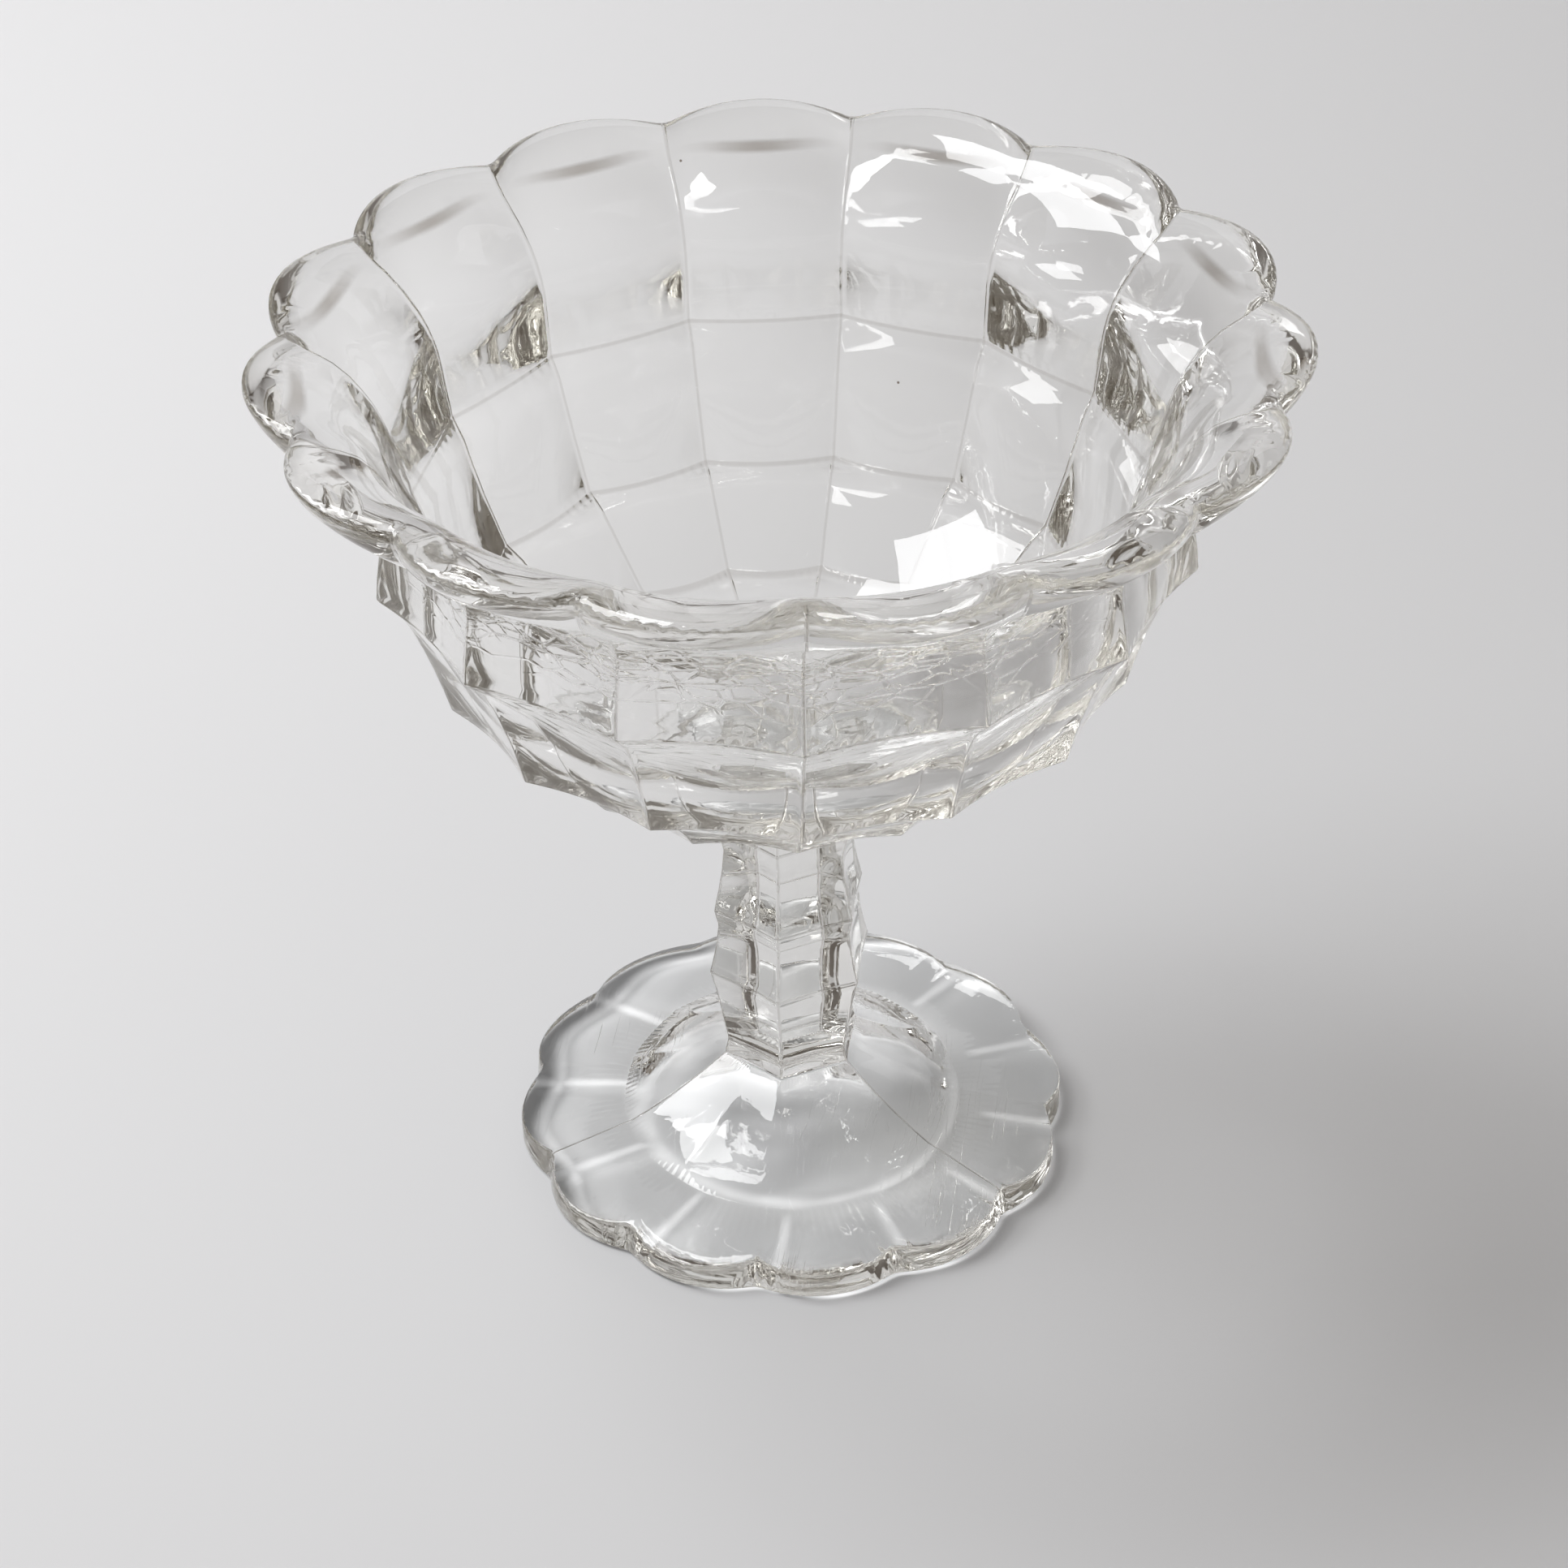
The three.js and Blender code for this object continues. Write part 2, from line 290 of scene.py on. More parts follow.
def ramp(tree, value, start, end, low=0.0, high=1.0):
    """Runs smoothly from low to high while value runs from start to end."""
    node = tree.nodes.new("ShaderNodeMapRange")
    node.interpolation_type = "SMOOTHSTEP"
    tree.links.new(value, node.inputs["Value"])
    for name, number in (("From Min", start), ("From Max", end), ("To Min", low), ("To Max", high)):
        node.inputs[name].default_value = number
    return node.outputs["Result"]


def add_tint(tree):
    tint = tree.nodes.new("ShaderNodeVolumeAbsorption")
    tint.inputs["Color"].default_value = TINT_COLOR
    tint.inputs["Density"].default_value = TINT_DENSITY
    tree.links.new(tint.outputs["Volume"], tree.nodes["Material Output"].inputs["Volume"])


# %% [markdown]
# ### Ripples
#
# Pressed glass has faint ripples where the metal mould chilled it. A picture could hold them, but noise
# on the piece's own coordinates stays sharp at any size.

# %% Noise and bumps
def split_place(tree):
    """The three object coordinates of a point."""
    place = tree.nodes.new("ShaderNodeTexCoord")
    split = tree.nodes.new("ShaderNodeSeparateXYZ")
    tree.links.new(place.outputs["Object"], split.inputs[0])
    return split.outputs


def split_normal(tree):
    """The three parts of the direction that the surface faces, towards the ray that meets it."""
    facing = tree.nodes.new("ShaderNodeNewGeometry")
    split = tree.nodes.new("ShaderNodeSeparateXYZ")
    tree.links.new(facing.outputs["True Normal"], split.inputs[0])
    return split.outputs


def noise(tree, scale, detail, stretch=(1, 1, 1), turn=0.0):
    """Noise on the piece's own coordinates, stretched along an axis."""
    place = tree.nodes.new("ShaderNodeTexCoord")
    mapping = tree.nodes.new("ShaderNodeMapping")
    mapping.inputs["Scale"].default_value = stretch
    mapping.inputs["Rotation"].default_value = (0, 0, turn)
    pattern = tree.nodes.new("ShaderNodeTexNoise")
    pattern.inputs["Scale"].default_value = scale
    pattern.inputs["Detail"].default_value = detail
    tree.links.new(place.outputs["Object"], mapping.inputs["Vector"])
    tree.links.new(mapping.outputs["Vector"], pattern.inputs["Vector"])
    return pattern.outputs["Fac"]


def bump(tree, height, distance, normal=None):
    node = tree.nodes.new("ShaderNodeBump")
    node.inputs["Strength"].default_value = 1.0
    node.inputs["Distance"].default_value = distance
    tree.links.new(height, node.inputs["Height"])
    if normal is not None:
        tree.links.new(normal, node.inputs["Normal"])
    return node.outputs["Normal"]


# %% [markdown]
# ### Seams and fins
#
# The mould opened in three parts, and where they met a hair-thin fin of glass runs down three ridges.
# Where its hollows met, the metal had a fine edge too, and left a finer fin on every ridge and every
# row. The fins could be modelled, but they are a tenth of a millimetre high, so they are lines worked
# out from the angle round the axis and from the height.

# %% Lines on the glass
def polar(tree, shift=0.0):
    """Distance from the axis, and angle round it from -Y to +X, of a point moved by shift along X."""
    x, y, _ = split_place(tree)
    if shift:
        x = calculate(tree, "SUBTRACT", x, shift)
    squares = calculate(tree, "ADD", calculate(tree, "POWER", x, 2), calculate(tree, "POWER", y, 2))
    angle = calculate(tree, "ARCTAN2", x, calculate(tree, "MULTIPLY", y, -1))
    return calculate(tree, "SQRT", squares), angle


def outside(tree):
    """1 where the surface faces away from the axis, also for a ray that meets it from within the glass."""
    facing = split_normal(tree)
    x, y, _ = split_place(tree)
    outwards = calculate(tree, "MULTIPLY_ADD", y, facing[1], calculate(tree, "MULTIPLY", x, facing[0]))
    behind = tree.nodes.new("ShaderNodeNewGeometry").outputs["Backfacing"]
    turned = calculate(tree, "MULTIPLY", outwards, calculate(tree, "MULTIPLY_ADD", behind, -2.0, 1.0))
    return ramp(tree, turned, 0.0, 0.002)


def lines_down(tree, first, count, half_width):
    """1 on lines that run down the outside, evenly round the turn from the angle first in degrees."""
    radius, angle = polar(tree)
    turned = calculate(tree, "SUBTRACT", angle, math.radians(first))
    wave = calculate(tree, "SINE", calculate(tree, "MULTIPLY", turned, count / 2))
    apart = calculate(tree, "MULTIPLY", radius, calculate(tree, "ABSOLUTE", wave))
    apart = calculate(tree, "MULTIPLY", apart, 2 / count)
    return calculate(tree, "MULTIPLY", ramp(tree, apart, half_width, half_width / 4), outside(tree))


def level_lines(tree, heights, half_width):
    """1 on lines that run round the outside at these heights, each a number or another node's output."""
    place = split_place(tree)[2]
    found = 0.0
    for height in heights:
        off = calculate(tree, "ABSOLUTE", calculate(tree, "SUBTRACT", place, height))
        found = calculate(tree, "MAXIMUM", found, ramp(tree, off, half_width, half_width / 4))
    return calculate(tree, "MULTIPLY", found, outside(tree))


# %% [markdown]
# ### What the glass lets down on the paper
#
# A rod or a bowl of glass throws a pale shadow with dark edges, because its steep sides turn light away
# and its level parts pass it on. The render could search for that light, but it would need minutes to
# lose its grain. So shadow rays pass the glass, dimmed by how steep it is. Only they are told, so
# nothing is painted on the glass.

# %% Light through the glass
def let_down(tree, steep, level):
    """How much light one surface passes on: steep on upright walls, level on horizontal ones."""
    up = calculate(tree, "ABSOLUTE", split_normal(tree)[2])
    return ramp(tree, up, 0.0, 0.95, steep, level)


def mix_shaders(tree, share, first, second):
    mix = tree.nodes.new("ShaderNodeMixShader")
    tree.links.new(share, mix.inputs["Fac"])
    tree.links.new(first, mix.inputs[1])
    tree.links.new(second, mix.inputs[2])
    return mix.outputs["Shader"]


def clear_shader(tree, amount=None):
    clear = tree.nodes.new("ShaderNodeBsdfTransparent")
    if amount is not None:
        tree.links.new(amount, clear.inputs["Color"])
    return clear.outputs["BSDF"]


# %% [markdown]
# ### The joints
#
# The bowl, the wafer, the stem and the foot were stuck together while hot. There is no surface left
# between them, so light goes straight on there. A second material on those faces would do the same, but
# then a ray would enter a piece by one material and leave it by another, and keep the tint of the glass
# outside it.

# %% Joints
JOINT_RADIUS = 0.0131
JOINT_GAP = 0.00002
JOINT_HEIGHTS = [level + gap for level in (foot_top, stem_top) for gap in (0, JOINT_GAP)]
JOINT_HEIGHTS += [bowl_base - JOINT_GAP, bowl_base]
JOINT_MARGINS = (0.000004, 0.0003)  # how far off in height and in radius still counts


def at_joint(tree):
    """1 on the level faces where one piece was joined to the next."""
    radius, _ = polar(tree)
    height = split_place(tree)[2]
    found = 0.0
    for level in JOINT_HEIGHTS:
        near = calculate(tree, "COMPARE", height, level, JOINT_MARGINS[0])
        found = calculate(tree, "MAXIMUM", near, found)
    within = calculate(tree, "LESS_THAN", radius, JOINT_RADIUS + JOINT_MARGINS[1])
    return calculate(tree, "MULTIPLY", found, within)


def pass_light(material, amount):
    """Shadow rays go straight through, dimmed by amount, and every ray does at a joint."""
    tree = material.node_tree
    kind = tree.nodes.new("ShaderNodeLightPath")
    glass = tree.nodes["Principled BSDF"].outputs["BSDF"]
    surface = mix_shaders(tree, kind.outputs["Is Shadow Ray"], glass, clear_shader(tree, amount))
    surface = mix_shaders(tree, at_joint(tree), surface, clear_shader(tree))
    tree.links.new(surface, tree.nodes["Material Output"].inputs["Surface"])


# %% [markdown]
# ### Specks
#
# A little grit and a few seeds of air were pressed in. They could be small balls in the glass, but each
# would be a pixel or two. So a few cells of a coarse cell pattern get a tiny dark dot.

# %% Specks
GLASS_COLOR = (0.985, 0.985, 0.98, 1)
GRIT_COLOR = (0.10, 0.07, 0.05, 1)


def specks(tree):
    place = tree.nodes.new("ShaderNodeTexCoord")
    cells = tree.nodes.new("ShaderNodeTexVoronoi")
    cells.inputs["Scale"].default_value = 75
    tree.links.new(place.outputs["Object"], cells.inputs["Vector"])
    kind = tree.nodes.new("ShaderNodeSeparateColor")
    tree.links.new(cells.outputs["Color"], kind.inputs["Color"])
    dot = ramp(tree, cells.outputs["Distance"], 0.024, 0.014)
    return calculate(tree, "MULTIPLY", dot, calculate(tree, "GREATER_THAN", kind.outputs["Red"], 0.82))


def color_where(tree, share, color):
    """Blends the colour that the glass has so far towards another one, by the share at each point."""
    base_color = tree.nodes["Principled BSDF"].inputs["Base Color"]
    so_far = [link.from_socket for link in base_color.links]
    mix = tree.nodes.new("ShaderNodeMix")
    mix.data_type = "RGBA"
    factor, first, second = (mix.inputs[index] for index in (0, 6, 7))
    first.default_value = GLASS_COLOR
    second.default_value = color
    for source in so_far:
        tree.links.new(source, first)
    tree.links.new(share, factor)
    tree.links.new(mix.outputs[2], base_color)


# %% [markdown]
# ### The glass itself
#
# One function makes the glass of all pieces: nearly colourless, slow ripples and fine ones, three
# seams, and in places a touch of wear. A fin also turns some light away, more than so small a bump
# shows, so a painted shade makes the glass's colour a little darker along it. A Glass BSDF would do
# too, but the Principled one survives an export.

# %% Glass
GLASS_IOR = 1.5
# colour of the painted shade along the fins and along the lip's lower edge
FIN_SHADE_COLOR = (0.26, 0.22, 0.18, 1)
SEAMS = 3
# A fin is half its width, its height and the share of painted shade for the light that it turns away.
SEAM_FIN = (0.00027, 0.00012, 0.5)
RIDGE_FIN = (0.0004, 0.00007, 0.3)
ROW_FIN = (0.0005, 0.00008, 0.35)
FINE_RIPPLE_SHARE = 0.12


def add_fins_and_shade(tree, normal, fins):
    """Fins are lines, with their height and the share of light that they turn away, painted as shade."""
    for lines, height, share in fins:
        normal = bump(tree, lines, height, normal)
        # painted shade: the glass's colour darkens along the fin
        color_where(tree, calculate(tree, "MULTIPLY", lines, share), FIN_SHADE_COLOR)
    return normal


def glass_material(name, ripple, wear, first_seam):
    """Gives the material and its bumps so far, to which a piece adds its own."""
    material = plain_material(name, GLASS_COLOR, 0.02)
    tree = material.node_tree
    color_where(tree, specks(tree), GRIT_COLOR)
    shader = tree.nodes["Principled BSDF"]
    shader.inputs["Transmission Weight"].default_value = 1.0
    shader.inputs["IOR"].default_value = GLASS_IOR
    slow = bump(tree, noise(tree, scale=55, detail=2), ripple)
    small = noise(tree, scale=260, detail=2, stretch=(1, 1, 2.5))
    fine = bump(tree, small, ripple * FINE_RIPPLE_SHARE, slow)
    # seam fins: a bump and a painted shade along each of the three lines
    seams = lines_down(tree, first_seam, SEAMS, SEAM_FIN[0]), *SEAM_FIN[1:]
    worn = ramp(tree, noise(tree, scale=90, detail=6), 0.55, 0.8, 0.0, wear)
    tree.links.new(worn, shader.inputs["Roughness"])
    add_tint(tree)
    return material, add_fins_and_shade(tree, fine, [seams])


# %% [markdown]
# ## Shaping a ring at a time
#
# All four pieces are round bodies whose outline swells and pinches in equal bays: fifteen panels, six
# stem sides, twelve foot scallops. Each could be a spun outline, but a spun body is round. Here a
# circle is extruded ring by ring, and the vertices at each place within a bay are scaled and lifted
# together, as one would do by hand. Ridges and steps are creased, so that subdivision rounds the panels
# and keeps the edges.

# %% Picking vertices
def pick(mesh, chosen):
    """Selects these vertices and nothing else."""
    for vertex in mesh.verts:
        vertex.select = False
    mesh.select_flush(False)
    for vertex in chosen:
        vertex.select = True
    mesh.select_flush(True)


# %% Ring tools
STEPS_PER_BAY = 12


class RingPiece:
    """A piece built up from rings. A ring turns the place in a bay into a radius and a height."""

    def __init__(self, name, bays, ring, turn=0.0, steps=STEPS_PER_BAY, ridges=(0.0,)):
        self.bays = bays
        self.turn = math.radians(turn)
        self.steps = steps
        self.ridges = ridges
        radius, height = ring(0.0)
        bpy.ops.object.select_all(action="DESELECT")
        bpy.ops.mesh.primitive_circle_add(vertices=bays * steps, radius=radius, location=(0, 0, height))
        bpy.context.object.rotation_euler.z = self.turn - self.nearest()
        self.piece = bpy.context.object
        self.piece.name = name
        self.piece.data.name = name
        bpy.ops.object.transform_apply(location=True, rotation=True, scale=True)
        bpy.ops.object.mode_set(mode="EDIT")
        bpy.ops.mesh.select_mode(type="VERT")
        bpy.ops.mesh.select_all(action="SELECT")
        self.shape(ring)

    def nearest(self):
        """The circle starts on +Y, which is half a turn from the first ridge."""
        bay = math.tau / self.bays
        return round(math.pi / bay) * bay - math.pi

    def in_bay(self, point):
        """0 on a ridge, 1 half way between two ridges, along a parabola."""
        angle = math.atan2(point.x, -point.y) + math.tau - self.turn
        place = (angle / math.tau * self.bays) % 1.0
        place = round(place * self.steps) / self.steps % 1.0
        return round(4 * place * (1 - place), 4)

    def mesh(self):
        """The mesh in edit mode, whose vertices can be looked up by number."""
        mesh = bmesh.from_edit_mesh(self.piece.data)
        mesh.verts.ensure_lookup_table()
        return mesh

    def chosen(self):
        return [vertex.index for vertex in self.mesh().verts if vertex.select]

    def choose(self, numbers):
        mesh = self.mesh()
        pick(mesh, [mesh.verts[number] for number in numbers])

    def shape(self, ring):
        """Scales and lifts the selected vertices, all that share a place in their bays at once."""
        fresh = self.chosen()
        mesh = self.mesh()
        places = {}
        for number in fresh:
            places.setdefault(self.in_bay(mesh.verts[number].co), []).append(number)
        for place, members in places.items():
            radius, height = ring(place)
            self.choose(members)
            now = self.mesh().verts[members[0]].co.copy()
            grow = radius / now.xy.length
            bpy.ops.transform.resize(value=(grow, grow, 1), center_override=(0, 0, now.z))
            bpy.ops.transform.translate(value=(0, 0, height - now.z))
        self.choose(fresh)

    def ring(self, ring, edge=0.0, ridge=0.0):
        """Extrudes one ring. edge creases the ring, ridge the lines down to it on the ridges."""
        bpy.ops.mesh.extrude_region_move()
        self.shape(ring)
        if edge:
            bpy.ops.transform.edge_crease(value=edge)
        if ridge:
            self.crease_ridges(ridge)

    def crease_ridges(self, value):
        fresh = self.chosen()
        mesh = self.mesh()
        on_ridge = [v for v in mesh.verts if v.select and self.in_bay(v.co) in self.ridges]
        lines = [e for v in on_ridge for e in v.link_edges if not e.other_vert(v).select]
        pick(mesh, [])
        for line in lines:
            line.select = True
        bpy.ops.transform.edge_crease(value=value)
        self.choose(fresh)

    def cap(self, edge=0.0):
        """Closes the selected ring with one face."""
        bpy.ops.mesh.edge_face_add()
        if edge:
            bpy.ops.transform.edge_crease(value=edge)


# %% [markdown]
# ### Rounding
#
# A pressed edge is never quite sharp, because the glass is reheated to polish it. First a Subdivision
# Surface rounds the panels between their creased edges, and then a narrow bevel rounds the edges
# themselves. A bevel by hand on each edge would give the same, but there are hundreds.

# %% Fire polish
SHARP_ANGLE = 24


def fire_polish(piece, glass, width):
    """Ends edit mode, rounds the piece and its sharp edges, and prints its size."""
    bpy.ops.mesh.select_all(action="SELECT")
    bpy.ops.mesh.normals_make_consistent(inside=False)
    bpy.ops.object.mode_set(mode="OBJECT")
    piece.data.materials.append(glass)
    smooth = piece.modifiers.new("round", "SUBSURF")
    smooth.levels = smooth.render_levels = 1
    bpy.ops.object.modifier_apply(modifier=smooth.name)
    soften = piece.modifiers.new("fire_polish", "BEVEL")
    soften.limit_method = "ANGLE"
    soften.angle_limit = math.radians(SHARP_ANGLE)
    soften.width = width
    soften.segments = 2
    soften.harden_normals = True
    bpy.ops.object.modifier_apply(modifier=soften.name)
    bpy.ops.object.shade_smooth()
    size = [round(1000 * length, 2) for length in piece.dimensions]
    print(piece.name, len(piece.data.polygons), "faces, mm:", size)
    return piece


# %% [markdown]
# ### Two sums
#
# One finds a value between two others. The other is the outline of a polygon, for the stem's six sides
# and the dome's twelve.

# %% Between and polygon
def lerp(a, b, share):
    return a + (b - a) * share


def polygon(corner, sides, angle):
    """The distance to a polygon's side from its middle, at an angle away from a corner."""
    half = math.pi / sides
    return corner * math.cos(half) / math.cos((angle % (2 * half)) - half)


# %% [markdown]
# ## The bowl
#
# The bowl is pressed by a plunger into a mould: smooth inside, panelled outside. Three rows of panels
# are scooped most just under their upper edge, so each corner juts out over the panel below. The rim
# flares out and ends in fifteen round scallops with a thick, fire-polished lip. The corners are given
# by radius and height on the ridges and by how far the middle of a panel lies inside the straight line
# between two ridges.

# %% Bowl sizes, in metres, heights from the underside of the bowl
PANELS = 15
BOWL_TURN = 10.5
PAD = (0.016, 0.0, 0.0)
LOW_CORNER = (0.0424, 0.0105, 0.0013)
MIDDLE_CORNER = (0.0592, 0.025, 0.0015)
HIGH_CORNER = (0.0703, 0.0496, 0.0015)
SCOOP = 0.002
MIDDLE_SCOOP_SHARE = 0.5
WALL = 0.0052
FLOOR_THICKNESS = 0.0085

# %% [markdown]
# ### The panels
#
# A panel is hollow both ways: across, because its middle lies inside its ridges, and down, because it
# is scooped. Each could be cut out of a round bowl, but the rows are quicker to build from rings.

# %% Panels
def middle_radius(radius, hollow):
    return radius * math.cos(math.pi / PANELS) - hollow


def middle_of(corner):
    return middle_radius(corner[0], corner[2]), corner[1]


def scooped(upper, lower, share, depth):
    """A point on the hollow line from one corner down to the next."""
    along = Vector((lower[0] - upper[0], lower[1] - upper[1]))
    inward = Vector((along.y, -along.x)).normalized()
    early = share**0.6
    sag = depth * 4 * early * (1 - early)
    return upper[0] + along.x * share + inward.x * sag, upper[1] + along.y * share + inward.y * sag


def between(ridge, middle, follow=1.0):
    """A ring that runs from its ridge point to its middle point and back in each panel."""
    return lambda place: (
        lerp(ridge[0], middle[0], place * follow),
        bowl_base + lerp(ridge[1], middle[1], place * follow),
    )


def panel_ring(upper, lower, share, depth):
    """A ring through one row of panels, hollowed deeper along the ridges than in mid-panel."""
    ridge = scooped(upper, lower, share, depth)
    middle = scooped(middle_of(upper), middle_of(lower), share, depth * MIDDLE_SCOOP_SHARE)
    return between(ridge, middle)


def outer_rows(bowl):
    """The three rows of panels, from the pad up to the high corners."""
    bowl.ring(panel_ring(PAD, PAD, 0, 0), edge=1.0)
    corners = [PAD, LOW_CORNER, MIDDLE_CORNER, HIGH_CORNER]
    rows = zip(corners, corners[1:], (0.7 * SCOOP, SCOOP, SCOOP), (5, 5, 6))
    for lower, upper, scoop, count in rows:
        for step in range(1, count + 1):
            ring = panel_ring(upper, lower, 1 - step / count, scoop)
            bowl.ring(ring, edge=float(step == count), ridge=1.0)


# %% [markdown]
# ### The rim
#
# The top row sweeps out from the high corners through a cove to the lip. The curve is drawn by four
# points, as in a drawing program, once along the ridges and once along the middle of the panels. The
# lip is thick and round, and its outline follows the scallops.

# %% Rim
RIM_RADIUS = 0.0818
RIM_HEIGHT = 0.0812
SCALLOP_REACH = 0.005
SCALLOP_LIFT = 0.0014
LIP_WIDTH = 0.0064
LIP_CROWN = 0.002
NOTCH_UNDERCUT = (0.0025, 0.0059)
SCALLOP_UNDERCUT = (0.0035, 0.0051)
RIDGE_COVE = (0.0638, 0.0662)
RIDGE_SHOULDER = (0.0696, 0.0626)
MIDDLE_COVE = (0.059, 0.0683)
MIDDLE_SHOULDER = (0.0676, 0.0639)
COVE_STEPS = 9


def lip_outline(tip, height, undercut):
    """The lip in section, from the lower edge of its face round the tip and the crown to its inner side."""
    reach, drop = undercut
    return [
        (tip - reach, height - drop),
        (tip - 0.6 * reach, height - 0.72 * drop),
        (tip - 0.26 * reach, height - 0.42 * drop),
        (tip - 0.06 * reach, height - 0.15 * drop),
        (tip, height + 0.1 * LIP_CROWN),
        (tip - 0.06 * LIP_WIDTH, height + 0.5 * LIP_CROWN),
        (tip - 0.25 * LIP_WIDTH, height + 0.88 * LIP_CROWN),
        (tip - 0.5 * LIP_WIDTH, height + LIP_CROWN),
        (tip - 0.8 * LIP_WIDTH, height + 0.86 * LIP_CROWN),
        (tip - 1.1 * LIP_WIDTH, height + 0.4 * LIP_CROWN),
    ]


def sweep_point(corner, shoulder, cove, lip, share):
    """A point on the line that sweeps from a high corner, share 0, through the cove to the lip, 1."""
    weights = ((1 - share) ** 3, 3 * share * (1 - share) ** 2, 3 * share**2 * (1 - share), share**3)
    points = (corner, shoulder, cove, lip)
    return tuple(sum(weight * point[k] for weight, point in zip(weights, points)) for k in range(2))


def rim(bowl):
    """The top row, which sweeps out to the lip, and the lip. Gives the point where the inside starts."""
    notch = lip_outline(RIM_RADIUS, RIM_HEIGHT, NOTCH_UNDERCUT)
    scallop = lip_outline(RIM_RADIUS + SCALLOP_REACH, RIM_HEIGHT + SCALLOP_LIFT, SCALLOP_UNDERCUT)
    for step in range(1, COVE_STEPS):
        share = step / COVE_STEPS
        ridge = sweep_point(HIGH_CORNER, RIDGE_SHOULDER, RIDGE_COVE, notch[0], share)
        middle = sweep_point(middle_of(HIGH_CORNER), MIDDLE_SHOULDER, MIDDLE_COVE, scallop[0], share)
        bowl.ring(between(ridge, middle), ridge=1.0)
    for i, (a, b) in enumerate(zip(notch, scallop)):
        outer_face = i < 6
        follow = 1.0 if outer_face else lerp(1.0, 0.5, (i - 5) / 4)
        edge = 0.9 if i == 0 else 0.0
        bowl.ring(between(a, b, follow), edge=edge, ridge=0.7 if outer_face else 0.0)
    return notch[-1]


# %% [markdown]
# ### The inside
#
# The plunger leaves a smooth, round inside. It is a soft curve through a few points, each the wall's
# thickness away from the middle of a panel, so the glass is thinnest there and thickest on the ridges.

# %% Inside
def inside_point(upper, lower, depth):
    radius, height = scooped(middle_of(upper), middle_of(lower), 0.5, depth * MIDDLE_SCOOP_SHARE)
    down = Vector((lower[0] - upper[0], lower[1] - upper[1])).normalized()
    return radius + down.y * WALL, height - down.x * WALL


def smooth_line(points, steps):
    """Points on a smooth curve through the given ones."""
    found = []
    for i in range(len(points) - 1):
        before = points[max(i - 1, 0)]
        a, b = points[i], points[i + 1]
        after = points[min(i + 2, len(points) - 1)]
        for step in range(steps):
            t = step / steps
            pair = []
            for k in range(2):
                m0 = (b[k] - before[k]) / 2
                m1 = (after[k] - a[k]) / 2
                h = (2 * t**3 - 3 * t**2 + 1) * a[k] + (t**3 - 2 * t**2 + t) * m0
                pair.append(h + (-2 * t**3 + 3 * t**2) * b[k] + (t**3 - t**2) * m1)
            found.append(tuple(pair))
    found.append(points[-1])
    return found


def sweep_inside(share):
    """WALL away from the sweep in the middle of a panel, share 0 at the high corner."""
    line = (middle_of(HIGH_CORNER), MIDDLE_SHOULDER, MIDDLE_COVE)
    tip = lip_outline(RIM_RADIUS + SCALLOP_REACH, RIM_HEIGHT + SCALLOP_LIFT, SCALLOP_UNDERCUT)[0]
    here = Vector(sweep_point(*line, tip, share))
    along = (Vector(sweep_point(*line, tip, share + 0.01)) - here).normalized()
    return tuple(here + Vector((-along.y, along.x)) * WALL)


def plunger_side(bowl, start):
    """The smooth inside, which follows the scallops a little near the rim only."""
    inside = [
        start,
        sweep_inside(0.8),
        sweep_inside(0.25),
        inside_point(HIGH_CORNER, MIDDLE_CORNER, SCOOP),
        inside_point(MIDDLE_CORNER, LOW_CORNER, SCOOP),
        inside_point(LOW_CORNER, PAD, SCOOP),
        (0.003, FLOOR_THICKNESS),
    ]
    for i, point in enumerate(smooth_line(inside, 3)[1:]):
        follow = 0.5 * max(0.0, 1 - (i + 1) / 4)
        bowl.ring(between(point, (point[0] + SCALLOP_REACH, point[1] + SCALLOP_LIFT), follow))
    bowl.cap()


# %% [markdown]
# ### The bowl's glass
#
# Besides its fins the bowl has chilled wrinkles under the front of the rim, which are cell edges drawn
# out sideways. The lower edge of the lip shows as a dark stroke in the middle of each panel and fades
# at the ridges: a small bump there, with painted shade for the dark.

# %% Bowl glass
WRINKLE_HEIGHTS = (0.136, 0.153)
WRINKLE_FADE = 0.004
LIP_EDGE_HEIGHT = 0.076
# the lip's lower edge: half its width, its bump height and its share of painted shade
LIP_EDGE_BUMP_AND_SHADE = (0.0006, 0.00015, 0.85)


def wrinkles(tree):
    """Cell edges in the top row of the front panels."""
    place = tree.nodes.new("ShaderNodeTexCoord")
    mapping = tree.nodes.new("ShaderNodeMapping")
    mapping.inputs["Scale"].default_value = (0.6, 0.6, 1.5)
    cells = tree.nodes.new("ShaderNodeTexVoronoi")
    cells.feature = "DISTANCE_TO_EDGE"
    cells.inputs["Scale"].default_value = 230
    tree.links.new(place.outputs["Object"], mapping.inputs["Vector"])
    tree.links.new(mapping.outputs["Vector"], cells.inputs["Vector"])
    _, y, height = split_place(tree)
    front = ramp(tree, y, -0.035, -0.055)
    low, high = WRINKLE_HEIGHTS
    above, below = ramp(tree, height, low, low + WRINKLE_FADE), ramp(tree, height, high, high - WRINKLE_FADE)
    edge = ramp(tree, cells.outputs["Distance"], 0.09, 0.0)
    row = calculate(tree, "MULTIPLY", above, below)
    return calculate(tree, "MULTIPLY", edge, calculate(tree, "MULTIPLY", front, row))


def lip_lines(tree):
    """The lip's lower edge, for its bump and painted shade, strongest in the middle of each panel."""
    turned = calculate(tree, "SUBTRACT", polar(tree)[1], math.radians(BOWL_TURN))
    wave = calculate(tree, "SINE", calculate(tree, "MULTIPLY", turned, PANELS / 2))
    line = level_lines(tree, [bowl_base + LIP_EDGE_HEIGHT], LIP_EDGE_BUMP_AND_SHADE[0])
    return calculate(tree, "MULTIPLY", line, calculate(tree, "POWER", wave, 2))


